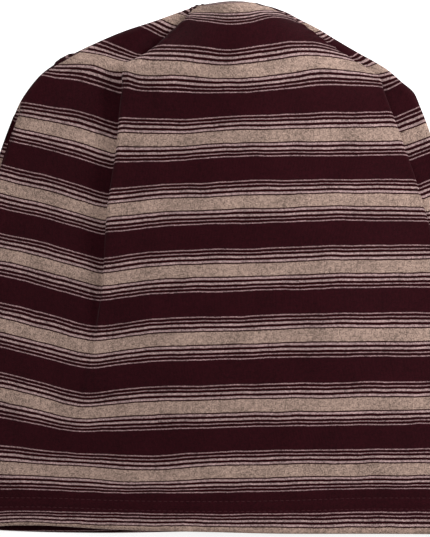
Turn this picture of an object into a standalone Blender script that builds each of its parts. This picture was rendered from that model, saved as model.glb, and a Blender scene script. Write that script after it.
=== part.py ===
"""A slouchy beanie of striped jersey, lying flat on its back with its rim towards -Y.

The hat is one tube of cloth whose crown is closed by darts. Its surface is a net of rows, each one a closed
loop round the hat at one level of the cloth, from the rim (level 0) to the crown's apex (level 1).
"""
import math

import bmesh
import bpy
import numpy as np

# Driving sizes, in metres.
WIDTH = 0.258  # across the flattened rim, from side fold to side fold
LENGTH = 0.280  # from the rim to the crown's far edge
CLOTH_LENGTH = 0.308  # along the cloth, from the rim to the apex
RIM_HEIGHT = 0.027  # of the upper layer above the surface, at the rim
CROWN_HEIGHT = 0.037  # the same, where the hat is fullest
FOLD_HEIGHT = 0.0080  # of the side folds above the surface
FOLD_RADIUS = 0.0042  # of the upper half of each side fold
APEX_HEIGHT = 0.0120  # where the darts meet
PANEL_STEP = 0.0042  # how far the front panel stands above its flanks
STEP_RUN = 0.0050  # over what width it drops to them
DART_FURROW = 0.0012  # depth of the dart seams where they run together at the crown
WALL = 0.0015  # thickness of the jersey
HEM_DEPTH = 0.0190  # turned in at the rim
HEM_WALL = 0.0012  # thickness of the turned-in layer
HEM_CLEARANCE = 0.0003  # between the turned hem and the wall

# The side folds: x in shares of WIDTH from the middle, y in shares of LENGTH from the rim. Lift is the share of
# the way from FOLD_HEIGHT up to APEX_HEIGHT.
FOLD_SHARES = (
    # level, left_x, left_y, right_x, right_y, lift
    (0.000, -0.500, 0.005, 0.500, -0.004, 0.00),
    (0.054, -0.500, 0.063, 0.500, 0.060, 0.00),
    (0.108, -0.500, 0.125, 0.500, 0.117, 0.00),
    (0.223, -0.500, 0.272, 0.500, 0.246, 0.00),
    (0.338, -0.497, 0.406, 0.499, 0.376, 0.05),
    (0.452, -0.486, 0.533, 0.492, 0.510, 0.15),
    (0.567, -0.463, 0.658, 0.476, 0.637, 0.30),
    (0.682, -0.419, 0.779, 0.434, 0.762, 0.50),
    (0.718, -0.403, 0.813, 0.416, 0.805, 0.57),
    (0.739, -0.386, 0.837, 0.404, 0.830, 0.62),
    (0.760, -0.361, 0.864, 0.379, 0.850, 0.68),
    (0.786, -0.332, 0.884, 0.350, 0.873, 0.76),
    (0.796, -0.312, 0.895, 0.322, 0.889, 0.80),
    (0.806, -0.262, 0.918, 0.292, 0.904, 0.84),
    (0.832, -0.188, 0.947, 0.240, 0.932, 0.90),
    (0.853, -0.135, 0.963, 0.208, 0.950, 0.94),
    (0.875, -0.092, 0.977, 0.176, 0.965, 0.97),
    (0.901, -0.057, 0.989, 0.130, 0.986, 1.00),
    (0.921, -0.042, 0.995, 0.086, 0.997, 1.00),
    (0.940, -0.024, 0.997, 0.074, 0.998, 1.00),
    (0.965, 0.002, 0.998, 0.062, 0.998, 1.00),
    (1.000, 0.035, 0.998, 0.035, 0.998, 1.00),
)

# The front darts, whose tips lie at level 0.796. Below the tips they run on as creases that fade towards the rim.
# Their steps are shares of PANEL_STEP.
DART_SHARES = (
    # level, left_x, left_y, right_x, right_y, left_step, right_step
    (0.000, -0.341, 0.012, 0.480, -0.004, 0.00, 0.00),
    (0.054, -0.330, 0.063, 0.479, 0.061, 0.00, 0.00),
    (0.108, -0.320, 0.120, 0.478, 0.120, 0.00, 0.00),
    (0.223, -0.285, 0.228, 0.474, 0.247, 0.08, 0.05),
    (0.338, -0.253, 0.349, 0.468, 0.375, 0.25, 0.15),
    (0.452, -0.232, 0.476, 0.453, 0.502, 0.65, 0.40),
    (0.567, -0.222, 0.602, 0.419, 0.621, 0.90, 0.80),
    (0.682, -0.201, 0.732, 0.372, 0.746, 1.00, 1.00),
    (0.739, -0.195, 0.802, 0.346, 0.811, 1.00, 1.00),
    (0.796, -0.190, 0.872, 0.300, 0.879, 1.00, 1.00),
    (0.832, -0.122, 0.917, 0.226, 0.923, 0.95, 0.95),
    (0.853, -0.093, 0.943, 0.195, 0.945, 0.90, 0.90),
    (0.875, -0.064, 0.968, 0.165, 0.964, 0.80, 0.80),
    (0.901, -0.051, 0.981, 0.122, 0.985, 0.60, 0.60),
    (0.921, -0.036, 0.992, 0.077, 0.998, 0.45, 0.45),
    (0.965, 0.005, 0.998, 0.057, 0.999, 0.20, 0.20),
    (1.000, 0.035, 0.998, 0.035, 0.998, 0.00, 0.00),
)

# The middle lines of the upper and the under layer. Heights are shares of the named heights, added up.
MIDDLE_SHARES = (
    # level, upper_y, of_rim, of_crown, under_y, of_apex
    (0.000, 0.002, 1.00, 0.00, -0.001, 0.00),
    (0.054, 0.059, 0.86, 0.12, 0.060, 0.00),
    (0.108, 0.118, 0.72, 0.24, 0.119, 0.00),
    (0.223, 0.245, 0.42, 0.55, 0.245, 0.00),
    (0.338, 0.372, 0.18, 0.81, 0.371, 0.00),
    (0.452, 0.497, 0.00, 0.97, 0.495, 0.00),
    (0.567, 0.623, 0.00, 1.00, 0.620, 0.00),
    (0.682, 0.746, 0.00, 1.00, 0.742, 0.00),
    (0.739, 0.806, 0.00, 0.99, 0.803, 0.00),
    (0.796, 0.868, 0.00, 0.97, 0.862, 0.00),
    (0.853, 0.932, 0.00, 0.92, 0.918, 0.00),
    (0.875, 0.957, 0.00, 0.88, 0.939, 0.00),
    (0.901, 0.979, 0.00, 0.79, 0.959, 0.01),
    (0.921, 0.995, 0.00, 0.69, 0.972, 0.05),
    (0.940, 1.001, 0.00, 0.58, 0.982, 0.14),
    (0.965, 1.001, 0.00, 0.45, 0.991, 0.40),
    (1.000, 0.998, 0.00, 0.33, 0.998, 1.00),
)

FLAT_SHARE = 0.86  # of each half of the under layer, which lies flat on the surface
RIM_POWER = 4  # how late the under layer leaves its middle line for the side folds
ROLL_RISE_SHARE = 0.5  # most that a side fold's roll takes of a row's rise
ROLL_RUN_SHARE = 0.33  # most that it takes of the row's half width
STEP_FADE = 4  # the flanks' step is full this many fold radii in from the side folds
HEM_LEVELS = tuple(share * HEM_DEPTH / CLOTH_LENGTH for share in (0.0, 0.5, 1.0))
MAIN_ROWS = 20  # evenly spaced between the hem and the darts' tips
WALL_LEVELS = HEM_LEVELS + tuple(np.linspace(HEM_LEVELS[-1], 0.785, MAIN_ROWS + 1)[1:]) + (
    0.808, 0.830, 0.852, 0.873, 0.893, 0.911, 0.922, 0.932, 0.946, 0.962, 0.980,
)
FLANK_COLUMNS = 6
FRONT_COLUMNS = 11
UNDER_COLUMNS = 16
UNDER_DART = 5  # column of the under layer, counted from either fold, that its dart lies on
FURROW_LEVELS = (0.86, 0.93)  # where the furrows start and where they are full

JERSEY_COLOUR = (0.13, 0.078, 0.070, 1.0)
ROUGHNESS = 0.9
SHARP_ANGLE = math.radians(50)  # folds sharper than this are shaded as edges


def smooth(places, values, place):
    """Monotone cubic interpolation between a column's rows, with no overshoot."""
    places, values = np.asarray(places, float), np.asarray(values, float)
    runs = np.diff(places)
    rises = np.diff(values) / runs
    slopes = np.zeros_like(values)
    slopes[0], slopes[-1] = rises[0], rises[-1]
    for i in range(1, len(values) - 1):
        if rises[i - 1] * rises[i] > 0:
            before, after = 2 * runs[i] + runs[i - 1], runs[i] + 2 * runs[i - 1]
            slopes[i] = (before + after) / (before / rises[i - 1] + after / rises[i])
    i = np.clip(np.searchsorted(places, place, "right") - 1, 0, len(runs) - 1)
    t = (place - places[i]) / runs[i]
    start = (1 + 2 * t) * values[i] + t * runs[i] * slopes[i]
    end = (3 - 2 * t) * values[i + 1] + (t - 1) * runs[i] * slopes[i + 1]
    return (1 - t) ** 2 * start + t * t * end


def at_level(table, level):
    """A table's columns at one level, without the level itself."""
    columns = np.array(table).T
    return [float(smooth(columns[0], column, level)) for column in columns[1:]]


def eased(t):
    """From 0 to 1 with level ends."""
    t = np.clip(t, 0.0, 1.0)
    return t * t * (3 - 2 * t)


def rounded(t):
    """A quarter circle from 0, where it is upright, to 1, where it is level."""
    return np.sqrt(1 - (1 - np.clip(t, 0.0, 1.0)) ** 2)


def upper_layer(level):
    """The loop's points from the left fold over the front to the right fold."""
    left_x, left_y, right_x, right_y, lift = at_level(FOLD_SHARES, level)
    dart_l_x, dart_l_y, dart_r_x, dart_r_y, step_l, step_r = at_level(DART_SHARES, level)
    middle_y, of_rim, of_crown = at_level(MIDDLE_SHARES, level)[:3]
    left_x, right_x, dart_l_x, dart_r_x = (WIDTH * x for x in (left_x, right_x, dart_l_x, dart_r_x))
    middle_x = (dart_l_x + dart_r_x) / 2
    half = (right_x - left_x) / 2

    edge_l = min(STEP_RUN / 2, (dart_l_x - left_x) / 3)
    edge_r = min(STEP_RUN / 2, (right_x - dart_r_x) / 3)
    quarter = math.pi / 2 * np.arange(FLANK_COLUMNS) / FLANK_COLUMNS
    panel = np.linspace(dart_l_x + edge_l, dart_r_x - edge_r, FRONT_COLUMNS)
    x = np.concatenate((
        left_x + (dart_l_x - edge_l - left_x) * (1 - np.cos(quarter)),
        (dart_l_x - edge_l, dart_l_x),
        panel,
        (dart_r_x, dart_r_x + edge_r),
        right_x - (right_x - dart_r_x - edge_r) * (1 - np.cos(quarter))[::-1],
    ))
    y = LENGTH * smooth(
        (left_x, dart_l_x, middle_x, dart_r_x, right_x),
        (left_y, dart_l_y, middle_y, dart_r_y, right_y),
        x,
    )

    fold_z = FOLD_HEIGHT + (APEX_HEIGHT - FOLD_HEIGHT) * lift
    rise = of_rim * RIM_HEIGHT + of_crown * CROWN_HEIGHT - fold_z
    roll = min(FOLD_RADIUS, ROLL_RISE_SHARE * rise)
    roll_run = min(FOLD_RADIUS, ROLL_RUN_SHARE * half)
    inward = np.minimum(x - left_x, right_x - x)
    below_l = step_l * eased((dart_l_x + edge_l - x) / (2 * edge_l))
    below_r = step_r * eased((x - dart_r_x + edge_r) / (2 * edge_r))
    z = (
        fold_z
        + roll * rounded(inward / roll_run)
        + (rise - roll) * np.sin(math.pi / 2 * np.clip(inward / half, 0.0, 1.0))
        - PANEL_STEP * (below_l + below_r) * rounded(inward / (STEP_FADE * roll_run))
    )
    return np.column_stack((x, y, z))


def under_layer(level):
    """The loop's points between the right fold and the left one, underneath."""
    left_x, left_y, right_x, right_y, lift = at_level(FOLD_SHARES, level)
    under_y, of_apex = at_level(MIDDLE_SHARES, level)[3:]
    across = np.cos(math.pi * np.arange(1, UNDER_COLUMNS) / UNDER_COLUMNS)
    x = WIDTH * ((right_x + left_x) / 2 + (right_x - left_x) / 2 * across)
    fold_y = np.where(across > 0, right_y, left_y)
    y = LENGTH * (under_y + (fold_y - under_y) * across**RIM_POWER)
    fold_z = FOLD_HEIGHT + (APEX_HEIGHT - FOLD_HEIGHT) * lift
    under_z = of_apex * APEX_HEIGHT
    turn = np.clip((np.abs(across) - FLAT_SHARE) / (1 - FLAT_SHARE), 0.0, 1.0)
    z = under_z + (fold_z - under_z) * (1 - np.sqrt(1 - turn**2))
    return np.column_stack((x, y, z))


def loop(level):
    return np.concatenate((upper_layer(level), under_layer(level)))


def with_furrows(net, levels):
    """The net with its four dart lines drawn in at the crown."""
    upper_count = net.shape[1] - UNDER_COLUMNS + 1
    seams = (
        FLANK_COLUMNS + 1,
        FLANK_COLUMNS + 2 + FRONT_COLUMNS,
        upper_count + UNDER_DART - 1,
        upper_count + UNDER_COLUMNS - UNDER_DART - 1,
    )
    start, full = FURROW_LEVELS
    depth = DART_FURROW * eased((np.array(levels) - start) / (full - start))
    drawn = net.copy()
    drawn[:, seams] += inward_normals(net)[:, seams] * depth[:, None, None]
    return drawn


def inward_normals(net):
    """Unit normals at the net's points, into the hat."""
    round_it = np.roll(net, -1, axis=1) - np.roll(net, 1, axis=1)
    along_it = np.gradient(net, axis=0)
    normals = np.cross(along_it, round_it)
    normals[0, :, 1] = 0.0
    return normals / np.linalg.norm(normals, axis=2, keepdims=True)


def ring_faces(lower, upper):
    """The quads between two loops of points."""
    count = len(lower)
    return [
        (lower[i], lower[(i + 1) % count], upper[(i + 1) % count], upper[i]) for i in range(count)
    ]


def new_object(name, points, faces):
    """A smooth-shaded mesh object whose faces point out, with its own cloth material."""
    mesh = bpy.data.meshes.new(name)
    mesh.from_pydata([tuple(point) for point in points], [], faces)
    solid = bmesh.new()
    solid.from_mesh(mesh)
    bmesh.ops.recalc_face_normals(solid, faces=solid.faces)
    solid.to_mesh(mesh)
    solid.free()
    mesh.shade_smooth()
    mesh.set_sharp_from_angle(angle=SHARP_ANGLE)
    material = bpy.data.materials.new(name)
    material.use_nodes = True
    shader = material.node_tree.nodes["Principled BSDF"]
    shader.inputs["Base Color"].default_value = JERSEY_COLOUR
    shader.inputs["Roughness"].default_value = ROUGHNESS
    shader.inputs["Metallic"].default_value = 0.0
    mesh.materials.append(material)
    made = bpy.data.objects.new(name, mesh)
    bpy.context.scene.collection.objects.link(made)
    return made


def clear_scene():
    for old in list(bpy.data.objects):
        bpy.data.objects.remove(old)


def knit_body(net, normals, apex):
    """The tube of cloth, open at the rim and closed at the apex."""
    rows, columns = net.shape[:2]
    inner = net + normals * WALL
    points = np.concatenate((net.reshape(-1, 3), inner.reshape(-1, 3), [apex, apex - (0.0, WALL, 0.0)]))
    outside = np.arange(rows * columns).reshape(rows, columns)
    inside = outside + rows * columns
    faces = ring_faces(outside[0], inside[0])
    for layer, tip in ((outside, len(points) - 2), (inside, len(points) - 1)):
        for row in range(rows - 1):
            faces += ring_faces(layer[row], layer[row + 1])
        faces += [(layer[-1][i], layer[-1][(i + 1) % columns], tip) for i in range(columns)]
    return new_object("knit_body", points, faces)


def turned_hem(net, normals):
    """The cloth turned in at the rim, a band that lines the wall there."""
    rows, columns = net.shape[:2]
    outer = net + normals * (WALL + HEM_CLEARANCE)
    inner = net + normals * (WALL + HEM_CLEARANCE + HEM_WALL)
    points = np.concatenate((outer.reshape(-1, 3), inner.reshape(-1, 3)))
    outside = np.arange(rows * columns).reshape(rows, columns)
    inside = outside + rows * columns
    faces = ring_faces(outside[0], inside[0]) + ring_faces(outside[-1], inside[-1])
    for row in range(rows - 1):
        faces += ring_faces(outside[row], outside[row + 1]) + ring_faces(inside[row], inside[row + 1])
    return new_object("turned_hem", points, faces)


def main():
    clear_scene()
    net = with_furrows(np.array([loop(level) for level in WALL_LEVELS]), WALL_LEVELS)
    apex_x, apex_y = at_level(FOLD_SHARES, 1.0)[:2]
    apex = np.array((WIDTH * apex_x, LENGTH * apex_y, APEX_HEIGHT))
    lowest, highest = net.min(axis=(0, 1)), net.max(axis=(0, 1))
    centre = np.array(((lowest[0] + highest[0]) / 2, (lowest[1] + highest[1]) / 2, 0.0))
    normals = inward_normals(net)
    knit_body(net - centre, normals, apex - centre)
    hem_rows = len(HEM_LEVELS)
    turned_hem(net[:hem_rows] - centre, normals[:hem_rows])


main()
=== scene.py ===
"""The slouchy beanie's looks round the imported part: striped jersey, darts, folds, turned hem, stitches."""
import math

import bpy
import numpy as np
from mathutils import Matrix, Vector


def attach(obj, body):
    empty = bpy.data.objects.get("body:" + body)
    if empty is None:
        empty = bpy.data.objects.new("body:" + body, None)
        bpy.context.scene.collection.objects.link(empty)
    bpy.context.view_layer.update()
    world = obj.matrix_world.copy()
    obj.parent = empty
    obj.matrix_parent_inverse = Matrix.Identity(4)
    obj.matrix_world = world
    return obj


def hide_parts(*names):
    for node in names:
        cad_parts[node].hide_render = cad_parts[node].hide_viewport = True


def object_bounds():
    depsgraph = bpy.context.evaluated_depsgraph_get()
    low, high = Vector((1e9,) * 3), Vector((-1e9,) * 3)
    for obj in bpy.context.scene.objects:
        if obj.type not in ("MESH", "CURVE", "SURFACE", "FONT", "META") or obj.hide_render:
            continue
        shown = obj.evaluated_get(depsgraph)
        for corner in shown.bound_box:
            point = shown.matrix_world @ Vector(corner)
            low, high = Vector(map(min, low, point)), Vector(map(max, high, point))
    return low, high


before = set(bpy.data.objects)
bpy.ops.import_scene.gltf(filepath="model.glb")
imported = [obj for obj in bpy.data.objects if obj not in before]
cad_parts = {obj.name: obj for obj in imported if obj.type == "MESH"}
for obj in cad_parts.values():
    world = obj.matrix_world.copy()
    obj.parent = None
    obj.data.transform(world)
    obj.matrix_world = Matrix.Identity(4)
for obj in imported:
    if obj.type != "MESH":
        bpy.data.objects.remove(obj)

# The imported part's box, which the cloth keeps.
BOX_LOW, BOX_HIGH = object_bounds()
MIDDLE_X = (BOX_LOW.x + BOX_HIGH.x) / 2
WIDTH = BOX_HIGH.x - BOX_LOW.x
CROWN_HEIGHT = BOX_HIGH.z - BOX_LOW.z

# The tables give y from the rim's middle, in shares of LENGTH. The rim's right side lies a little below it.
LOWEST_Y, HIGHEST_Y = -0.0040, 1.0010
LENGTH = (BOX_HIGH.y - BOX_LOW.y) / (HIGHEST_Y - LOWEST_Y)
RIM_Y = BOX_LOW.y - LOWEST_Y * LENGTH

# Sizes of the cloth, in metres.
CLOTH_LENGTH = 0.308  # from the rim to the apex, along the cloth
RIM_HEIGHT = 0.027  # of the upper layer, at the rim
FOLD_HEIGHT = 0.0080  # of the side folds
FOLD_RADIUS = 0.0042
APEX_HEIGHT = 0.0120
PANEL_STEP = 0.0042  # how far the front panel stands above its flanks
WALL = 0.0015
HEM_THICK = 0.0029  # where the cloth is turned in, both layers
HEM_DEPTH = 0.0190

# Side folds. x in shares of WIDTH from the middle, y in shares of LENGTH, lift in shares of the way from
# FOLD_HEIGHT to APEX_HEIGHT. A level is a share of CLOTH_LENGTH.
FOLDS = (
    # level, left_x, left_y, right_x, right_y, lift
    (0.000, -0.500, 0.005, 0.500, -0.004, 0.00),
    (0.054, -0.500, 0.063, 0.500, 0.060, 0.00),
    (0.108, -0.500, 0.125, 0.500, 0.117, 0.00),
    (0.223, -0.500, 0.272, 0.500, 0.246, 0.00),
    (0.338, -0.497, 0.406, 0.499, 0.376, 0.05),
    (0.452, -0.486, 0.533, 0.492, 0.510, 0.15),
    (0.567, -0.463, 0.658, 0.476, 0.637, 0.30),
    (0.682, -0.419, 0.779, 0.434, 0.762, 0.50),
    (0.718, -0.403, 0.813, 0.416, 0.805, 0.57),
    (0.739, -0.386, 0.837, 0.404, 0.830, 0.62),
    (0.760, -0.361, 0.864, 0.379, 0.850, 0.68),
    (0.786, -0.332, 0.884, 0.350, 0.873, 0.76),
    (0.796, -0.312, 0.895, 0.322, 0.889, 0.80),
    (0.806, -0.262, 0.918, 0.292, 0.904, 0.84),
    (0.832, -0.188, 0.947, 0.240, 0.932, 0.90),
    (0.853, -0.135, 0.963, 0.208, 0.950, 0.94),
    (0.875, -0.092, 0.977, 0.176, 0.965, 0.97),
    (0.901, -0.057, 0.989, 0.130, 0.986, 1.00),
    (0.921, -0.042, 0.995, 0.086, 0.997, 1.00),
    (0.940, -0.024, 0.997, 0.074, 0.998, 1.00),
    (0.965, 0.002, 0.998, 0.062, 0.998, 1.00),
    (1.000, 0.035, 0.998, 0.035, 0.998, 1.00),
)

# The left crease, which above level 0.796 is the left dart's seam. Step is in shares of PANEL_STEP. Lead is
# how much farther along its stripes the side panel is than the front one at their seam, in shares of
# CLOTH_LENGTH.
LEFT = (
    # level, flank_middle_y, crease_x, flank_y, panel_y, step, lead
    (0.000, 0.015, -0.341, 0.015, 0.015, 0.00, 0.000),
    (0.054, 0.063, -0.330, 0.064, 0.063, 0.00, 0.000),
    (0.108, 0.121, -0.320, 0.118, 0.118, 0.00, 0.000),
    (0.223, 0.251, -0.285, 0.226, 0.226, 0.08, 0.000),
    (0.338, 0.377, -0.253, 0.348, 0.349, 0.25, 0.000),
    (0.452, 0.508, -0.232, 0.474, 0.477, 0.65, 0.000),
    (0.567, 0.630, -0.222, 0.598, 0.606, 0.90, 0.000),
    (0.682, 0.756, -0.201, 0.725, 0.739, 1.00, 0.000),
    (0.739, 0.822, -0.195, 0.797, 0.806, 1.00, 0.000),
    (0.760, 0.849, -0.191, 0.825, 0.832, 1.00, 0.000),
    (0.796, 0.894, -0.190, 0.871, 0.872, 1.00, 0.000),
    (0.806, 0.905, -0.167, 0.887, 0.888, 1.00, 0.013),
    (0.832, 0.933, -0.122, 0.917, 0.917, 0.95, 0.026),
    (0.853, 0.953, -0.093, 0.943, 0.943, 0.90, 0.036),
    (0.875, 0.972, -0.064, 0.968, 0.968, 0.80, 0.041),
    (0.901, 0.985, -0.051, 0.981, 0.981, 0.60, 0.035),
    (0.921, 0.994, -0.036, 0.992, 0.992, 0.45, 0.030),
    (0.965, 0.998, 0.005, 0.998, 0.998, 0.20, 0.030),
    (1.000, 0.998, 0.035, 0.998, 0.998, 0.00, 0.030),
)

# The front panel's y at each fifth of its width, between its two edges.
PANEL = (
    # level, y_20, y_40, y_60, y_80
    (0.000, 0.007, 0.004, 0.000, -0.002),
    (0.054, 0.059, 0.058, 0.060, 0.063),
    (0.108, 0.109, 0.116, 0.119, 0.120),
    (0.223, 0.237, 0.241, 0.243, 0.244),
    (0.338, 0.366, 0.369, 0.374, 0.375),
    (0.452, 0.492, 0.495, 0.499, 0.502),
    (0.567, 0.617, 0.621, 0.625, 0.627),
    (0.682, 0.738, 0.745, 0.747, 0.749),
    (0.739, 0.801, 0.803, 0.809, 0.816),
    (0.796, 0.872, 0.864, 0.871, 0.885),
    (0.832, 0.914, 0.905, 0.913, 0.924),
    (0.853, 0.936, 0.929, 0.934, 0.947),
    (0.875, 0.960, 0.954, 0.959, 0.969),
    (0.901, 0.979, 0.978, 0.978, 0.983),
    (0.921, 0.992, 0.994, 0.996, 0.997),
    (0.940, 0.998, 1.000, 1.001, 1.000),
    (0.965, 0.999, 1.001, 1.001, 1.001),
    (1.000, 0.998, 0.998, 0.998, 0.998),
)

# The right crease, which above level 0.776 is the right dart's seam.
RIGHT = (
    # level, crease_x, panel_y, flank_y, step, lead
    (0.000, 0.480, -0.004, -0.004, 0.00, 0.000),
    (0.054, 0.479, 0.061, 0.061, 0.00, 0.000),
    (0.108, 0.478, 0.120, 0.119, 0.00, 0.000),
    (0.223, 0.474, 0.246, 0.246, 0.05, 0.000),
    (0.338, 0.468, 0.375, 0.375, 0.15, 0.000),
    (0.452, 0.453, 0.503, 0.501, 0.40, 0.000),
    (0.567, 0.419, 0.627, 0.614, 0.80, 0.000),
    (0.682, 0.372, 0.752, 0.740, 1.00, 0.000),
    (0.739, 0.346, 0.817, 0.804, 1.00, 0.000),
    (0.760, 0.337, 0.840, 0.830, 1.00, 0.000),
    (0.776, 0.331, 0.856, 0.854, 1.00, 0.000),
    (0.786, 0.320, 0.866, 0.866, 1.00, 0.002),
    (0.796, 0.300, 0.879, 0.879, 1.00, 0.016),
    (0.806, 0.275, 0.893, 0.893, 1.00, 0.024),
    (0.832, 0.226, 0.923, 0.923, 0.95, 0.043),
    (0.853, 0.195, 0.945, 0.945, 0.90, 0.051),
    (0.875, 0.165, 0.964, 0.964, 0.80, 0.052),
    (0.901, 0.122, 0.985, 0.985, 0.60, 0.052),
    (0.921, 0.077, 0.998, 0.998, 0.45, 0.052),
    (0.965, 0.057, 0.999, 0.999, 0.20, 0.052),
    (1.000, 0.035, 0.998, 0.998, 0.00, 0.052),
)

# Heights of the middle lines, in shares of the named heights, and the under layer's y.
MIDDLES = (
    # level, of_rim, of_crown, under_y, of_apex
    (0.000, 1.00, 0.00, -0.001, 0.00),
    (0.054, 0.86, 0.12, 0.060, 0.00),
    (0.108, 0.72, 0.24, 0.119, 0.00),
    (0.223, 0.42, 0.55, 0.245, 0.00),
    (0.338, 0.18, 0.81, 0.371, 0.00),
    (0.452, 0.00, 0.97, 0.495, 0.00),
    (0.567, 0.00, 1.00, 0.620, 0.00),
    (0.682, 0.00, 1.00, 0.742, 0.00),
    (0.739, 0.00, 0.99, 0.803, 0.00),
    (0.796, 0.00, 0.97, 0.862, 0.00),
    (0.853, 0.00, 0.92, 0.918, 0.00),
    (0.875, 0.00, 0.88, 0.939, 0.00),
    (0.901, 0.00, 0.79, 0.959, 0.01),
    (0.921, 0.00, 0.69, 0.972, 0.05),
    (0.940, 0.00, 0.58, 0.982, 0.14),
    (0.965, 0.00, 0.45, 0.991, 0.40),
    (1.000, 0.00, 0.33, 0.998, 1.00),
)

# Beside the left fold, a narrow strip of the back shows beyond the edge of the flank. Its stripes don't meet
# the flank's.
STRIP = (
    # level, share of its full width
    (0.000, 0.00),
    (0.490, 0.00),
    (0.600, 1.00),
    (0.690, 1.00),
    (0.728, 0.00),
    (0.752, 0.00),
    (0.776, 0.60),
    (0.796, 1.00),
    (0.810, 0.00),
    (1.000, 0.00),
)
STRIP_WIDTH, STRIP_EDGE = 0.0032, 0.0012
STRIP_DROP = 0.0026  # how far it lies below the flank
STRIP_LEAD = -0.036  # in shares of CLOTH_LENGTH
STRIP_FADE = 0.25  # share of its full width below which the strip's lead fades
BACK_RETURN = 0.250  # the lead is gone this far round the back
BACK_LEVELS = (0.70, 0.79)  # where the back's lead starts to fade, and where it is gone

# The side seam's groove down the left fold, and the levels where it starts to fade and where it is gone.
SIDE_SEAM_DEPTH, SIDE_SEAM_LEVELS = 0.0007, (0.40, 0.50)

# At the rim the back slips out on the left by a share of LENGTH, less and less up to a level. The slip grows
# from the middle over one half of the way to the fold, and falls off by a power close to the fold.
SLIP, SLIP_LEVEL = 0.0032, 0.050
SLIP_GROWTH, SLIP_POWER = 2, 6

# Slack in the upper layer, as waves added up.
RIPPLES = (
    # waves in each metre across, along, phase, height
    (9.0, 4.5, 0.6, 0.00055),
    (-6.5, 7.5, 2.2, 0.00045),
    (15.0, -3.5, 4.1, 0.00030),
    (4.0, 17.0, 1.1, 0.00022),
    (22.0, 9.0, 5.2, 0.00014),
)
RIPPLE_EDGE = 0.025  # the waves are full this far in from the side folds
KINK_RUN = 0.009  # where the crease is soft, the stripes turn over this much to either side
KINK_STEPS = 9

# How finely the cloth is laid out. The rows lie closer together from DART_TIP on, up to LAST_LEVEL.
ROWS_BELOW_DARTS, ROWS_IN_CROWN = 150, 80
DART_TIP, LAST_LEVEL = 0.785, 0.992
HEM_ROWS, ROLL_ROWS = 24, 7  # up the hem, and round its turn at the rim
FLANK_COLUMNS, CREASE_COLUMNS, PANEL_COLUMNS, UNDER_COLUMNS = 34, 13, 90, 85
UPPER_COLUMNS = 2 * FLANK_COLUMNS + 2 * CREASE_COLUMNS + PANEL_COLUMNS

FLAT_SHARE = 0.86  # of each half of the under layer, which lies flat
RIM_POWER = 4  # the higher, the closer to the folds the under layer's rows turn to meet them
ROLL_RISE_SHARE, ROLL_RUN_SHARE = 0.5, 0.33  # most of a row's rise and half width that a fold's roll takes
STEP_FADE = 4  # the panel's step is full this many rolls in from the side folds
CREASE_RUN = 0.0050  # width of the crease's fall
NARROW_FLANK = 3  # half of that width is at most the flank's width divided by this
OVERHANG = 0.40  # how far the panel's edge rolls out over the flank, in shares of the step
GUTTER, GUTTER_RUN = 0.45, 0.009  # the left flank's dip by its crease, in shares of the step, and its width
INSIDE_BLURS = 3  # times that the relief is smoothed for the cloth's inside

# Dart seams.
SEAM_SHARES = (0.25, 0.75)  # places of the front seams across their creases, from the flanks
BACK_RIGHT_SHARE, BACK_LEFT_SHARE = 0.35, 0.29  # places of the back seams under the hat, from the folds
SEAM_LEVELS = (0.776, 0.815)  # where the seams start, and where they are full
SEAM_DEPTH, SEAM_RUN = 0.0012, 0.0035  # of the groove, to either side of the seam
SEAM_GIRTH = 0.080  # where the hat is less round than this, near the apex, the seams fade
PUCKER_PITCH, PUCKER_DEPTH, PUCKER_RUN = 0.0042, 0.00040, 0.0050
CURLS = (0.45, 0.22)  # how far the stripes turn down along the front seams' edges, in shares of the way over
CURL_COLUMNS = (0, 8)  # of the panel, which turn with its edges

# The left dart's tip, where the stripes are drawn up to the crease.
TIP_LEVEL, TIP_RISE, TIP_RUN = 0.786, 0.0090, 0.0060  # the rise is in shares of LENGTH
TIP_BELOW_PANEL, TIP_BELOW_FLANK, TIP_ABOVE = 0.055, 0.026, 0.034  # levels over which the rise fades

# The hem's raw edge, from its full depth to the single cloth, and its two rows of stitches.
RAW_EDGE = (
    # rows on, depth
    (0.15, 0.00280),
    (0.30, 0.00245),
    (0.32, 0.00205),
    (0.28, 0.00175),
)
STITCH_ROWS = (0.0120, 0.0176)  # distances along the cloth from the rim
STITCH_PITCH, STITCH_LENGTH, THREAD = 0.0029, 0.0023, 0.00036
STITCH_LIFT, STITCH_BEND = 0.25, 1.1  # of a stitch's middle, and how far its ends lie below that, in threads
STITCH_POINTS, THREAD_SIDES = 7, 5
CROSSING_POINTS, CROSSING_LIFT = 4, 0.4  # of the thread inside, for each stitch, and its lift in threads
STITCH_DENT, STITCH_DENT_RUN = 0.00025, 0.0012

APEX_BEYOND = 0.0004  # how far the apex lies beyond the last row

# The stripes repeat along the cloth, and are the same up and down from the middle of the beige one, which
# lies FIRST_STRIPE from the rim.
MAP_NAME = "cloth"  # metres round the hat and along the cloth
STRIPE_PERIOD, FIRST_STRIPE = 0.03532, 0.0333
STRIPE_BLUR = 0.00006  # to either side of a stripe's edge

# The stretched cloth at the rim sets its stripes back, less and less up to a level. By the left fold a share
# of that is missing, in full up to one distance from the fold, and not at all beyond the next.
RIM_LEAD, RIM_LEVEL = -0.0020, 0.11
RIM_LEFT = (0.80, 0.045, 0.120)

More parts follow.
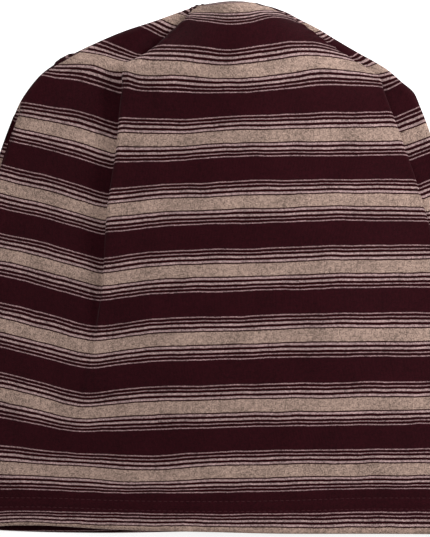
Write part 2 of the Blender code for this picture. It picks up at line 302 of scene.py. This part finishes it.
COURSE, WALE = 0.000612, 0.00080  # the knit's rows and columns
STRIPES = (
    # colour, width in courses, from the beige stripe's middle to the burgundy one's
    ("beige", 5.25),
    ("gap", 1.20),
    ("light", 1.75),
    ("dark", 2.25),
    ("light", 1.70),
    ("dark", 2.25),
    ("thin", 0.85),
    ("dark", 2.20),
    ("thin", 0.90),
    ("burgundy", 10.51),
)
COLOURS = {
    "beige": (0.306, 0.212, 0.174),
    "gap": (0.0190, 0.0020, 0.0030),
    "light": (0.335, 0.224, 0.218),
    "dark": (0.0170, 0.0012, 0.0022),
    "thin": (0.270, 0.168, 0.170),
    "burgundy": (0.0215, 0.0024, 0.0044),
}
THREAD_COLOURS = (0.036, 0.0068, 0.0095), (0.062, 0.0170, 0.0220)

# Noises, their scales in cells for each metre.
WAVER_SCALE, WAVER = 700.0, 0.0004  # of the stripes, in metres
SLOW_SCALE, SLOW_WAVER = 45.0, 0.0018
FIBRE_SCALE, FLECK_SCALE, CLOUD_SCALE = 1500.0, 520.0, 70.0
FIBRES, FLECKS, CLOUDS = 2.2, 1.3, 0.9  # their strengths in the yarn's colour
PALE_GRAIN, DARK_GRAIN = 2.5, 0.55  # the darkest yarn has this share of them, and paler yarn more
LEAST_VALUE = 0.45
TWIST_SCALE = 2500.0

# The knit's relief.
RIGHT_SIDE, WRONG_SIDE = (0.8, 0.45), (0.2, 0.1)  # how far the loops' legs lean, and the columns' relief
LEG_SHARE = 0.6  # of the lean, which shows in the stripes' edges
COURSE_RELIEF = 0.5
BUMP_STRENGTH, BUMP_DISTANCE = 0.4, 0.00022

# Surfaces and light.
JERSEY_LOOK = {"Roughness": 0.95, "Specular IOR Level": 0.06, "Sheen Weight": 0.03, "Sheen Roughness": 0.5}
THREAD_LOOK = {"Roughness": 0.8, "Specular IOR Level": 0.1, "Sheen Weight": 0.03}
FLOOR_LOOK = {
    "Base Color": (0.9, 0.9, 0.9, 1.0),
    "Roughness": 0.9,
    "Specular IOR Level": 0.1,
    "Emission Color": (1.0, 1.0, 1.0, 1.0),
    "Emission Strength": 0.70,
}
LIGHTS = (
    # name, place, width, watts
    ("key", (1.00, 0.56, 0.68), 0.45, 15.3),
    ("overhead", (-0.75, 0.60, 1.6), 1.2, 12.4),
)
WORLD_STRENGTH = 0.35

# The photograph's frame.
FRAME_HIGH, PIXEL = 537, 0.5263e-3  # pixels, and metres in each at SCALE_HEIGHT
CAMERA_HEIGHT, SCALE_HEIGHT = 2.0, 0.020
CAMERA_X, CAMERA_Y = -0.00105, -0.00014
SENSOR_WIDTH = 36.0  # millimetres


def smooth(places, values, place):
    """Monotone cubic interpolation, with no overshoot."""
    places, values = np.asarray(places, float), np.asarray(values, float)
    runs = np.diff(places)
    rises = np.diff(values) / runs
    slopes = np.zeros_like(values)
    slopes[0], slopes[-1] = rises[0], rises[-1]
    for i in range(1, len(values) - 1):
        if rises[i - 1] * rises[i] > 0:
            before, after = 2 * runs[i] + runs[i - 1], runs[i] + 2 * runs[i - 1]
            slopes[i] = (before + after) / (before / rises[i - 1] + after / rises[i])
    i = np.clip(np.searchsorted(places, place, "right") - 1, 0, len(runs) - 1)
    t = (place - places[i]) / runs[i]
    start = (1 + 2 * t) * values[i] + t * runs[i] * slopes[i]
    end = (3 - 2 * t) * values[i + 1] + (t - 1) * runs[i] * slopes[i + 1]
    return (1 - t) ** 2 * start + t * t * end


def at_level(table, level):
    columns = np.array(table).T
    return [float(smooth(columns[0], column, level)) for column in columns[1:]]


def eased(t):
    t = np.clip(t, 0.0, 1.0)
    return t * t * (3 - 2 * t)


def faded(place, start, end):
    """From 1 at the start to 0 at the end."""
    return 1 - eased((place - start) / (end - start))


def rounded(t):
    """A quarter circle from 0, where it is upright, to 1, where it is level."""
    return np.sqrt(1 - (1 - np.clip(t, 0.0, 1.0)) ** 2)


def ripples(x, y):
    height = np.zeros_like(x)
    for across, along, phase, amount in RIPPLES:
        height += amount * np.sin(2 * math.pi * (across * x + along * y) + phase)
    return height


def tip_share(level, on_panel):
    """How much of the rise at the left dart's tip a level has, on the panel and on the flank."""
    if level > TIP_LEVEL:
        return eased(1 - (level - TIP_LEVEL) / TIP_ABOVE)
    return eased(1 - (TIP_LEVEL - level) / np.where(on_panel, TIP_BELOW_PANEL, TIP_BELOW_FLANK))


def upper_row(level):
    """The row over the front, from the left fold to the right one. y is in shares of LENGTH."""
    left_x, left_y, right_x, right_y, lift = at_level(FOLDS, level)
    middle_l, crease_l, flank_l, panel_l, step_l = at_level(LEFT, level)[:5]
    crease_r, panel_r, flank_r, step_r = at_level(RIGHT, level)[:4]
    of_rim, of_crown = at_level(MIDDLES, level)[:2]
    left_x, right_x, crease_l, crease_r = (WIDTH * x for x in (left_x, right_x, crease_l, crease_r))
    half = (right_x - left_x) / 2
    run_l = min(CREASE_RUN / 2, (crease_l - left_x) / NARROW_FLANK)
    run_r = min(CREASE_RUN / 2, (right_x - crease_r) / NARROW_FLANK)

    quarter = math.pi / 2 * np.arange(FLANK_COLUMNS) / FLANK_COLUMNS
    flank_lx = left_x + (crease_l - run_l - left_x) * (1 - np.cos(quarter))
    flank_rx = right_x - (right_x - crease_r - run_r) * (1 - np.cos(quarter))[::-1]
    turn = np.linspace(0, 1, CREASE_COLUMNS)
    crease_lx = crease_l + run_l * (2 * turn - 1)
    crease_rx = crease_r + run_r * (2 * turn - 1)
    panel_x = np.linspace(crease_l + run_l, crease_r - run_r, PANEL_COLUMNS + 2)[1:-1]
    x = np.concatenate((flank_lx, crease_lx, panel_x, crease_rx, flank_rx))

    rise_l, rise_r = eased(turn), eased(1 - turn)
    side_l = (left_x, (left_x + crease_l) / 2, crease_l), (left_y, middle_l, flank_l)
    panel_y = (panel_l, *at_level(PANEL, level), panel_r)
    panel = crease_l + (crease_r - crease_l) * np.linspace(0, 1, len(panel_y)), panel_y
    side_r = (crease_r, right_x), (flank_r, right_y)
    below_l = smooth(*side_l, np.minimum(crease_lx, crease_l))
    above_l = smooth(*panel, np.maximum(crease_lx, crease_l))
    below_r = smooth(*side_r, np.maximum(crease_rx, crease_r))
    above_r = smooth(*panel, np.minimum(crease_rx, crease_r))
    y = np.concatenate((
        smooth(*side_l, flank_lx),
        below_l + (above_l - below_l) * rise_l,
        smooth(*panel, panel_x),
        below_r + (above_r - below_r) * rise_r,
        smooth(*side_r, flank_rx),
    ))

    fold_z = FOLD_HEIGHT + (APEX_HEIGHT - FOLD_HEIGHT) * lift
    rise = of_rim * RIM_HEIGHT + of_crown * CROWN_HEIGHT - fold_z
    roll = min(FOLD_RADIUS, ROLL_RISE_SHARE * rise)
    roll_run = min(FOLD_RADIUS, ROLL_RUN_SHARE * half)
    inward = np.minimum(x - left_x, right_x - x)
    at_left = slice(FLANK_COLUMNS, FLANK_COLUMNS + CREASE_COLUMNS)
    at_right = slice(-FLANK_COLUMNS - CREASE_COLUMNS, -FLANK_COLUMNS)
    below = np.zeros_like(x)
    below[:FLANK_COLUMNS] = step_l * (1 + GUTTER * np.exp(-((flank_lx[-1] - flank_lx) / GUTTER_RUN) ** 2))
    below[at_left] = step_l * (1 + GUTTER) * (1 - rise_l)
    below[at_right] = step_r * (1 - rise_r)
    below[-FLANK_COLUMNS:] = step_r
    z = (
        fold_z
        + roll * rounded(inward / roll_run)
        + (rise - roll) * np.sin(math.pi / 2 * np.clip(inward / half, 0.0, 1.0))
        - PANEL_STEP * below * rounded(inward / (STEP_FADE * roll_run))
    )
    shifts = np.linspace(-KINK_RUN, KINK_RUN, KINK_STEPS)
    softened = np.mean([np.interp(x + shift, x, y) for shift in shifts], axis=0)
    y += (softened - y) * (1 - step_l) * eased(inward / RIPPLE_EDGE)
    y += TIP_RISE * np.exp(-((x - crease_l) / TIP_RUN) ** 2) * tip_share(level, x > crease_l)
    strip = at_level(STRIP, level)[0]
    across = x - left_x
    drop = rounded(across / STRIP_EDGE) * (1 - eased((across - strip * STRIP_WIDTH) / STRIP_EDGE + 0.5))
    z -= strip * STRIP_DROP * drop
    z += ripples(x, y * LENGTH) * eased(inward / RIPPLE_EDGE) * min(1.0, rise / RIM_HEIGHT)
    sway = OVERHANG * PANEL_STEP * np.sin(2 * math.pi * turn)
    x[at_left] += step_l * sway
    x[at_right] += step_r * sway
    return np.column_stack((x, y, z))


def under_row(level):
    """The row between the right fold and the left one, underneath."""
    left_x, left_y, right_x, right_y, lift = at_level(FOLDS, level)
    under_y, of_apex = at_level(MIDDLES, level)[2:]
    across = np.cos(math.pi * np.arange(1, UNDER_COLUMNS) / UNDER_COLUMNS)
    x = WIDTH * ((right_x + left_x) / 2 + (right_x - left_x) / 2 * across)
    fold_y = np.where(across > 0, right_y, left_y)
    y = under_y + (fold_y - under_y) * across**RIM_POWER
    to_left = np.maximum(-across, 0.0)
    y -= SLIP * eased(1 - level / SLIP_LEVEL) * eased(SLIP_GROWTH * to_left) * (1 - to_left**SLIP_POWER)
    fold_z = FOLD_HEIGHT + (APEX_HEIGHT - FOLD_HEIGHT) * lift
    under_z = of_apex * APEX_HEIGHT
    turn = np.clip((np.abs(across) - FLAT_SHARE) / (1 - FLAT_SHARE), 0.0, 1.0)
    z = under_z + (fold_z - under_z) * (1 - np.sqrt(1 - turn**2))
    return np.column_stack((x, y, z))


def levels_of_rows():
    first = HEM_THICK / 2 / CLOTH_LENGTH
    hem = np.linspace(first, HEM_DEPTH / CLOTH_LENGTH, HEM_ROWS)
    body = np.linspace(HEM_DEPTH / CLOTH_LENGTH, DART_TIP, ROWS_BELOW_DARTS - HEM_ROWS)[1:]
    crown = np.linspace(DART_TIP, LAST_LEVEL, ROWS_IN_CROWN + 1)[1:]
    return np.concatenate((hem, body, crown))


def laid_out(levels):
    """The cloth's outside as rows of points in metres, each row starting at the middle of the under layer."""
    net = np.array([np.concatenate((upper_row(level), under_row(level))) for level in levels])
    net[:, :, 0] += MIDDLE_X
    net[:, :, 1] = RIM_Y + net[:, :, 1] * LENGTH
    return np.roll(net, UNDER_COLUMNS // 2, axis=1)


def column_from_left_fold(number):
    """The place in a row of a column that is counted from the left fold."""
    return (UNDER_COLUMNS // 2 + number) % (UPPER_COLUMNS + UNDER_COLUMNS - 1)


def seam_columns():
    """The columns of the dart seams: front left, front right, back right and back left."""
    left, right = (FLANK_COLUMNS + round(share * (CREASE_COLUMNS - 1)) for share in SEAM_SHARES)
    back_right = UPPER_COLUMNS - 1 + round(BACK_RIGHT_SHARE * UNDER_COLUMNS)
    back_left = UPPER_COLUMNS - 1 + round((1 - BACK_LEFT_SHARE) * UNDER_COLUMNS)
    return [column_from_left_fold(n) for n in (left, UPPER_COLUMNS - 1 - right, back_right, back_left)]


def inward_normals(net):
    round_it = np.roll(net, -1, axis=1) - np.roll(net, 1, axis=1)
    along_it = np.gradient(net, axis=0)
    normals = np.cross(along_it, round_it)
    return normals / np.linalg.norm(normals, axis=2, keepdims=True)


def arc_lengths(net):
    """Distance along each row from the front's middle column, with one more where the row closes."""
    steps = np.linalg.norm(np.roll(net, -1, axis=1) - net, axis=2)
    along = np.concatenate((np.zeros((len(net), 1)), np.cumsum(steps, axis=1)), axis=1)
    return along - along[:, [column_from_left_fold(UPPER_COLUMNS // 2)]]


def seam_strength(levels):
    start, full = SEAM_LEVELS
    return eased((levels - start) / (full - start))


def with_stitch_dents(net, levels):
    """The hem, drawn in a little along its two rows of stitches."""
    dent = sum(np.exp(-((levels * CLOTH_LENGTH - row) / STITCH_DENT_RUN) ** 2) for row in STITCH_ROWS)
    return net + inward_normals(net) * (STITCH_DENT * dent)[:, None, None]


def with_seams(net, levels):
    """The cloth drawn in along the darts' seams and the side seam, and puckered beside the darts'."""
    normals = inward_normals(net)
    around = arc_lengths(net)
    girth = around[:, -1:] - around[:, :1]
    strength = seam_strength(levels)[:, None] * np.clip(girth / SEAM_GIRTH, 0.0, 1.0)
    wave = np.cos(2 * math.pi * levels * CLOTH_LENGTH / PUCKER_PITCH)[:, None]
    dip = np.zeros(net.shape[:2])
    for column in seam_columns():
        away = np.abs(around[:, :-1] - around[:, [column]])
        away = np.minimum(away, girth - away)
        dip += strength * SEAM_DEPTH * (1 - rounded(away / SEAM_RUN))
        dip += strength * PUCKER_DEPTH * wave * np.exp(-(away / PUCKER_RUN) ** 2)
    away = np.abs(around[:, :-1] - around[:, [column_from_left_fold(0)]])
    dip += SIDE_SEAM_DEPTH * faded(levels, *SIDE_SEAM_LEVELS)[:, None] * (1 - rounded(away / SEAM_RUN))
    return net + normals * dip[:, :, None]


def blurred(net, times):
    for _ in range(times):
        net = (np.roll(net, 1, axis=1) + 2 * net + np.roll(net, -1, axis=1)) / 4
        net[1:-1] = (net[:-2] + 2 * net[1:-1] + net[2:]) / 4
    return net


def leads(levels, around):
    """How far the stripes run ahead at each face's two corners in each row, in metres."""
    count = around.shape[1] - 1
    fold = column_from_left_fold(0)
    missing, *distances = RIM_LEFT
    near_left = faded(np.abs(around - around[:, [fold]]), *distances)
    rim = RIM_LEAD * (1 - eased(levels / RIM_LEVEL))[:, None] * (1 - missing * near_left)
    ahead = np.stack((rim[:, :-1], rim[:, 1:]), axis=2)
    left = np.array([at_level(LEFT, level)[5] for level in levels]) * CLOTH_LENGTH
    right = np.array([at_level(RIGHT, level)[4] for level in levels]) * CLOTH_LENGTH
    front_left, front_right, back_right, back_left = seam_columns()
    ahead[:, back_left:front_left] += left[:, None, None]
    ahead[:, front_right:back_right] += right[:, None, None]

    left_edge, right_edge = (FLANK_COLUMNS + CREASE_COLUMNS + columns for columns in CURL_COLUMNS)
    edges = column_from_left_fold(left_edge), column_from_left_fold(UPPER_COLUMNS - 1 - right_edge)
    for seam, edge, share in zip((front_left, front_right), edges, CURLS):
        curl = share * seam_strength(levels)
        reach = np.abs(around[:, seam] - around[:, edge])
        for column in range(min(seam, edge), max(seam, edge)):
            for corner in (0, 1):
                away = around[:, column + corner] - around[:, edge]
                ahead[:, column, corner] += curl * away**2 / reach

    strip = np.array([at_level(STRIP, level)[0] for level in levels])
    shown = STRIP_LEAD * CLOTH_LENGTH * eased(strip / STRIP_FADE)
    below_crown = STRIP_LEAD * CLOTH_LENGTH * faded(levels, *BACK_LEVELS)
    girth = around[:, -1] - around[:, 0]
    for column in range(fold, fold + FLANK_COLUMNS):
        in_strip = around[:, column + 1] - around[:, fold] < STRIP_WIDTH * strip
        ahead[:, column] += (shown * in_strip)[:, None]
    for column in range(fold - UNDER_COLUMNS, fold):
        for corner in (0, 1):
            behind = np.mod(around[:, fold] - around[:, column % count + corner], girth)
            share = 1 - eased(behind / BACK_RETURN)
            ahead[:, column % count, corner] += np.minimum(shown, below_crown) * share
    return ahead


class Cloth:
    """A closed mesh gathered ring by ring, whose map gives each corner's place round and along the cloth."""

    def __init__(self):
        self.points, self.faces, self.places, self.sides = [], [], [], []

    def ring(self, points):
        first = len(self.points)
        self.points.extend(points)
        return first

    def face(self, corners, places, side):
        self.faces.append(corners)
        self.places.extend(places)
        self.sides.append(side)

    def band(self, first, second, count, near, far, side):
        """Faces between two rings, each with its places round the cloth, distance along it and leads."""
        (u, v, lead), (up, vp, far_lead) = near, far
        for j in range(count):
            k = (j + 1) % count
            corners = (first + j, first + k, second + k, second + j)
            self.face(corners, (
                (u[j], v + lead[j, 0]),
                (u[j + 1], v + lead[j, 1]),
                (up[j + 1], vp + far_lead[j, 1]),
                (up[j], vp + far_lead[j, 0]),
            ), side)


def jersey_mesh(net, levels):
    """The jersey from the apex down its outside, round the rim, over the turned hem and up its inside."""
    cloth = Cloth()
    count, half = net.shape[1], net.shape[1] // 2
    normals, around = inward_normals(net), arc_lengths(net)
    ahead = leads(levels, around)
    along = levels * CLOTH_LENGTH
    radius = HEM_THICK / 2

    rows = []  # points, places round the cloth, distance along it, leads
    for i in range(len(levels) - 1, -1, -1):
        rows.append((net[i], around[i], along[i], ahead[i]))
    to_rim = net[0] - net[1]
    to_rim /= np.linalg.norm(to_rim, axis=1, keepdims=True)
    for turn in np.linspace(0, math.pi, ROLL_ROWS + 2)[1:-1]:
        ring = net[0] + normals[0] * (radius * (1 - math.cos(turn))) + to_rim * (radius * math.sin(turn))
        rows.append((ring, around[0], radius * (1 - turn), ahead[0]))
    fold_end = radius * (1 - math.pi)
    for i in range(HEM_ROWS):
        ring = net[i] + normals[i] * HEM_THICK
        rows.append((ring, around[i], fold_end - (along[i] - along[0]), ahead[0]))
    end = HEM_ROWS - 1
    for onward, depth in RAW_EDGE:
        ring = net[end] + (net[end + 1] - net[end]) * onward + normals[end] * depth
        rows.append((ring, around[end], fold_end - (along[end] - along[0]), ahead[0]))

    first = cloth.ring(rows[0][0])
    for (_, *near), (ring, *far) in zip(rows, rows[1:]):
        second = cloth.ring(ring)
        cloth.band(first, second, count, near, far, 0)
        first = second

    inside = blurred(net, INSIDE_BLURS)
    inside = inside + inward_normals(inside) * WALL
    inner = range(end + 2, len(levels), 2)
    second = cloth.ring(inside[inner[0], ::2])
    u, v = around[inner[0]], along[inner[0]]
    for j in range(half):
        a, b, c = 2 * j, 2 * j + 1, 2 * j + 2
        n = (j + 1) % half
        cloth.face((first + a, first + b, second + j), ((u[a], v), (u[b], v), (u[a], v)), 1)
        corners = (first + b, first + c % count, second + n, second + j)
        cloth.face(corners, ((u[b], v), (u[c], v), (u[c], v), (u[a], v)), 1)
    inner_lead = np.stack((ahead[:, ::2, 0], ahead[:, 1::2, 1]), axis=2)
    for i, following in zip(inner, inner[1:]):
        first, second = second, cloth.ring(inside[following, ::2])
        near = around[i, ::2], along[i], inner_lead[i]
        far = around[following, ::2], along[following], inner_lead[following]
        cloth.band(first, second, half, near, far, 1)

    apex = np.array((net[-1, :, 0].mean(), net[-1, :, 1].max() + APEX_BEYOND, APEX_HEIGHT))
    outer_tip, inner_tip = cloth.ring([apex]), cloth.ring([apex - (0.0, WALL, 0.0)])
    u, v, lead = around[-1], along[-1], ahead[-1]
    for j in range(count):
        corners = ((j + 1) % count, j, outer_tip)
        places = ((u[j + 1], v + lead[j, 1]), (u[j], v + lead[j, 0]), (u[j], CLOTH_LENGTH + lead[j, 0]))
        cloth.face(corners, places, 0)
    u = u[::2]
    for j in range(half):
        corners = (second + j, second + (j + 1) % half, inner_tip)
        cloth.face(corners, ((u[j], v), (u[j + 1], v), (u[j], CLOTH_LENGTH)), 1)
    return cloth


def new_piece(name, points, faces, materials):
    mesh = bpy.data.meshes.new(name)
    mesh.from_pydata(np.asarray(points).tolist(), [], faces)
    for material in materials:
        mesh.materials.append(material)
    mesh.shade_smooth()
    piece = bpy.data.objects.new(name, mesh)
    bpy.context.scene.collection.objects.link(piece)
    return piece


class Nodes:
    """Shorthand for building a material's nodes."""

    def __init__(self, name):
        self.material = bpy.data.materials.new(name)
        self.material.use_nodes = True
        self.tree = self.material.node_tree
        self.shader = self.tree.nodes["Principled BSDF"].inputs

    def add(self, kind, **settings):
        node = self.tree.nodes.new(kind)
        for key, value in settings.items():
            setattr(node, key, value)
        return node

    def put(self, value, socket):
        if isinstance(value, bpy.types.NodeSocket):
            self.tree.links.new(value, socket)
        else:
            socket.default_value = value

    def math(self, operation, *values):
        node = self.add("ShaderNodeMath", operation=operation)
        for value, socket in zip(values, node.inputs):
            self.put(value, socket)
        return node.outputs[0]

    def sum(self, *values):
        total = values[0]
        for value in values[1:]:
            total = self.math("ADD", total, value)
        return total

    def times(self, *values):
        product = values[0]
        for value in values[1:]:
            product = self.math("MULTIPLY", product, value)
        return product

    def look(self, values):
        for name, value in values.items():
            self.shader[name].default_value = value

    def vector(self, x, y, z):
        node = self.add("ShaderNodeCombineXYZ")
        for value, socket in zip((x, y, z), node.inputs):
            self.put(value, socket)
        return node.outputs[0]

    def noise(self, place, scale, detail=2.0):
        """Noise about 0, at most half of 1 either way."""
        node = self.add("ShaderNodeTexNoise")
        self.put(place, node.inputs["Vector"])
        node.inputs["Scale"].default_value = scale
        node.inputs["Detail"].default_value = detail
        node.inputs["Roughness"].default_value = 0.5
        return self.math("SUBTRACT", node.outputs["Fac"], 0.5)

    def mix(self, share, first, second, blend_type="MIX"):
        node = self.add("ShaderNodeMix", data_type="RGBA", blend_type=blend_type)
        for value, socket in zip((share, first, second), (node.inputs[0], node.inputs[6], node.inputs[7])):
            self.put(value, socket)
        return node.outputs[2]


def stripes(nodes, along_it):
    """The stripes' colours, by the distance from the beige stripes' middles."""
    away = nodes.math("PINGPONG", nodes.math("SUBTRACT", along_it, FIRST_STRIPE), STRIPE_PERIOD / 2)
    ramp = nodes.add("ShaderNodeValToRGB")
    nodes.put(nodes.math("DIVIDE", away, STRIPE_PERIOD / 2), ramp.inputs[0])
    elements = ramp.color_ramp.elements
    elements[0].color = (*COLOURS["beige"], 1.0)
    elements[1].color = (*COLOURS["burgundy"], 1.0)
    edge = 0.0
    for (colour, width), (following, _) in zip(STRIPES, STRIPES[1:]):
        edge += width * COURSE
        elements.new((edge - STRIPE_BLUR) / (STRIPE_PERIOD / 2)).color = (*COLOURS[colour], 1.0)
        elements.new((edge + STRIPE_BLUR) / (STRIPE_PERIOD / 2)).color = (*COLOURS[following], 1.0)
    return ramp.outputs[0]


def jersey(name, right_side):
    """Striped jersey: its right side shows columns of small Vs, and its wrong side rows of purl bumps."""
    nodes = Nodes(name)
    place = nodes.add("ShaderNodeUVMap", uv_map=MAP_NAME).outputs[0]
    split = nodes.add("ShaderNodeSeparateXYZ")
    nodes.put(place, split.inputs[0])
    u, v = split.outputs[0], split.outputs[1]

    lean, ribs = RIGHT_SIDE if right_side else WRONG_SIDE
    leg = nodes.times(nodes.math("SUBTRACT", nodes.math("PINGPONG", u, WALE / 2), WALE / 4), lean)
    waver = nodes.times(nodes.noise(place, WAVER_SCALE), WAVER)
    slow = nodes.times(nodes.noise(place, SLOW_SCALE), SLOW_WAVER)
    colour = stripes(nodes, nodes.sum(v, nodes.times(leg, LEG_SHARE), waver, slow))

    fibres = nodes.noise(place, FIBRE_SCALE, detail=1.0)
    flecks = nodes.noise(place, FLECK_SCALE, detail=1.0)
    clouds = nodes.noise(place, CLOUD_SCALE)
    mixed = nodes.sum(nodes.times(fibres, FIBRES), nodes.times(flecks, FLECKS), nodes.times(clouds, CLOUDS))
    channels = nodes.add("ShaderNodeSeparateColor")
    nodes.put(colour, channels.inputs[0])
    paleness = nodes.sum(nodes.times(channels.outputs["Green"], PALE_GRAIN), DARK_GRAIN)
    grain = nodes.times(mixed, nodes.math("MINIMUM", paleness, 1.0))
    value = nodes.math("MAXIMUM", nodes.sum(grain, 1.0), LEAST_VALUE)
    heathered = nodes.mix(1.0, colour, nodes.vector(value, value, value), "MULTIPLY")
    nodes.put(heathered, nodes.shader["Base Color"])
    nodes.look(JERSEY_LOOK)

    course = nodes.math("SINE", nodes.times(nodes.sum(v, leg), 2 * math.pi / COURSE))
    column = nodes.math("COSINE", nodes.times(u, 2 * math.pi / WALE))
    height = nodes.sum(nodes.times(course, COURSE_RELIEF), nodes.times(column, ribs), fibres)
    bump = nodes.add("ShaderNodeBump")
    bump.inputs["Strength"].default_value = BUMP_STRENGTH
    bump.inputs["Distance"].default_value = BUMP_DISTANCE
    nodes.put(height, bump.inputs["Height"])
    nodes.put(bump.outputs[0], nodes.shader["Normal"])
    return nodes.material


def thread_material():
    """Dull sewing thread, its plies as a fine twist."""
    nodes = Nodes("sewing_thread")
    place = nodes.add("ShaderNodeTexCoord").outputs["Object"]
    twist = nodes.noise(place, TWIST_SCALE)
    colour = nodes.mix(nodes.sum(twist, 0.5), *((*colour, 1.0) for colour in THREAD_COLOURS))
    nodes.put(colour, nodes.shader["Base Color"])
    nodes.look(THREAD_LOOK)
    return nodes.material


def on_cloth(net, levels, around, along_it, round_it):
    """Points and outward normals of the cloth's outside, at one distance from the rim and places round it."""
    level = along_it / CLOTH_LENGTH
    row = int(np.clip(np.searchsorted(levels, level) - 1, 0, len(levels) - 2))
    share = (level - levels[row]) / (levels[row + 1] - levels[row])
    ring = net[row] * (1 - share) + net[row + 1] * share
    outward = -inward_normals(net[row:row + 3])[0]
    places = around[row] * (1 - share) + around[row + 1] * share
    ring, outward = np.vstack((ring, ring[:1])), np.vstack((outward, outward[:1]))
    points = np.column_stack([np.interp(round_it, places, ring[:, axis]) for axis in range(3)])
    normals = np.column_stack([np.interp(round_it, places, outward[:, axis]) for axis in range(3)])
    return points, normals / np.linalg.norm(normals, axis=1, keepdims=True)


def tube(line, normals, radius, sides):
    """Points and faces of a closed tube along a line, its first corner turned to the normals."""
    ahead = np.gradient(line, axis=0)
    ahead /= np.linalg.norm(ahead, axis=1, keepdims=True)
    across = np.cross(ahead, normals)
    across /= np.linalg.norm(across, axis=1, keepdims=True)
    up = np.cross(across, ahead)
    turns = 2 * math.pi * np.arange(sides) / sides
    rings = [line[i] + radius * (np.outer(np.cos(turns), up[i]) + np.outer(np.sin(turns), across[i]))
             for i in range(len(line))]
    faces = []
    for i in range(len(line) - 1):
        for j in range(sides):
            k = (j + 1) % sides
            faces.append((i * sides + j, i * sides + k, (i + 1) * sides + k, (i + 1) * sides + j))
    last = (len(line) - 1) * sides
    faces.append(tuple(range(sides))[::-1])
    faces.append(tuple(range(last, last + sides)))
    return np.concatenate(rings), faces


def hem_stitches(net, levels, material):
    """The two needle rows outside, and the thread that crosses between them over the raw edge inside."""
    around = arc_lengths(net)
    points, faces = [], []

    def add(line, normals):
        made, sheets = tube(line, normals, THREAD / 2, THREAD_SIDES)
        faces.extend(tuple(corner + len(points) for corner in sheet) for sheet in sheets)
        points.extend(made)

    low, high = around[0, 0], around[0, -1]
    whole = int((high - low) / STITCH_PITCH)
    pitch = (high - low) / whole
    shape = np.linspace(-1, 1, STITCH_POINTS)
    lift = THREAD * (STITCH_LIFT - STITCH_BEND * shape**2)
    for along_it in STITCH_ROWS:
        for number in range(whole):
            middle = low + (number + 0.5) * pitch
            line, up = on_cloth(net, levels, around, along_it, middle + shape * STITCH_LENGTH / 2)
            add(line + up * lift[:, None], up)
    crossing = CROSSING_POINTS * whole
    places = np.linspace(low, high, crossing, endpoint=False)
    near_rim, up = on_cloth(net, levels, around, STITCH_ROWS[0], places)
    far, _ = on_cloth(net, levels, around, STITCH_ROWS[1], places)
    swing = (0.5 - 0.5 * np.cos(2 * math.pi / CROSSING_POINTS * np.arange(crossing)))[:, None]
    add(near_rim * (1 - swing) + far * swing - up * (HEM_THICK + THREAD * CROSSING_LIFT), up)
    return new_piece("hem_stitches", points, faces, [material])


def beanie():
    levels = levels_of_rows()
    net = with_stitch_dents(with_seams(laid_out(levels), levels), levels)
    net[:, :, 2] = np.maximum(net[:, :, 2], BOX_LOW.z)
    cloth = jersey_mesh(net, levels)
    sides = [jersey("jersey_right_side", True), jersey("jersey_wrong_side", False)]
    tube_piece = new_piece("jersey_tube", cloth.points, cloth.faces, sides)
    tube_piece.data.polygons.foreach_set("material_index", cloth.sides)
    layer = tube_piece.data.uv_layers.new(name=MAP_NAME)
    layer.data.foreach_set("uv", np.array(cloth.places, np.float32).ravel())
    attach(tube_piece, "root")
    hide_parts("knit_body", "turned_hem")
    stitches = hem_stitches(net, levels, thread_material())
    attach(stitches, "root")


def floor():
    """A pale floor that glows faintly, as a lit photographic table does."""
    reach = 4.0
    corners = [(-reach, -reach, 0), (reach, -reach, 0), (reach, reach, 0), (-reach, reach, 0)]
    nodes = Nodes("floor")
    nodes.look(FLOOR_LOOK)
    new_piece("floor", corners, [(0, 1, 2, 3)], [nodes.material])


def light(name, place, size, power):
    data = bpy.data.lights.new(name, "AREA")
    data.shape = "DISK"
    data.size = size
    data.energy = power
    made = bpy.data.objects.new(name, data)
    made.location = place
    made.rotation_euler = (-Vector(place)).to_track_quat("-Z", "Y").to_euler()
    bpy.context.scene.collection.objects.link(made)


def studio():
    for row in LIGHTS:
        light(*row)
    world = bpy.data.worlds.new("studio")
    world.use_nodes = True
    background = world.node_tree.nodes["Background"].inputs
    background["Color"].default_value = (1.0, 1.0, 1.0, 1.0)
    background["Strength"].default_value = WORLD_STRENGTH
    bpy.context.scene.world = world
    bpy.context.scene.view_settings.view_transform = "Standard"


def camera():
    """Straight above the hat, with the lens that makes the view as high as the photograph's frame."""
    data = bpy.data.cameras.new("camera")
    data.sensor_width = SENSOR_WIDTH
    data.lens = data.sensor_width * (CAMERA_HEIGHT - SCALE_HEIGHT) / (FRAME_HIGH * PIXEL)
    made = bpy.data.objects.new("camera", data)
    made.location = (CAMERA_X, CAMERA_Y, CAMERA_HEIGHT)
    bpy.context.scene.collection.objects.link(made)
    bpy.context.scene.camera = made


beanie()
floor()
studio()
camera()
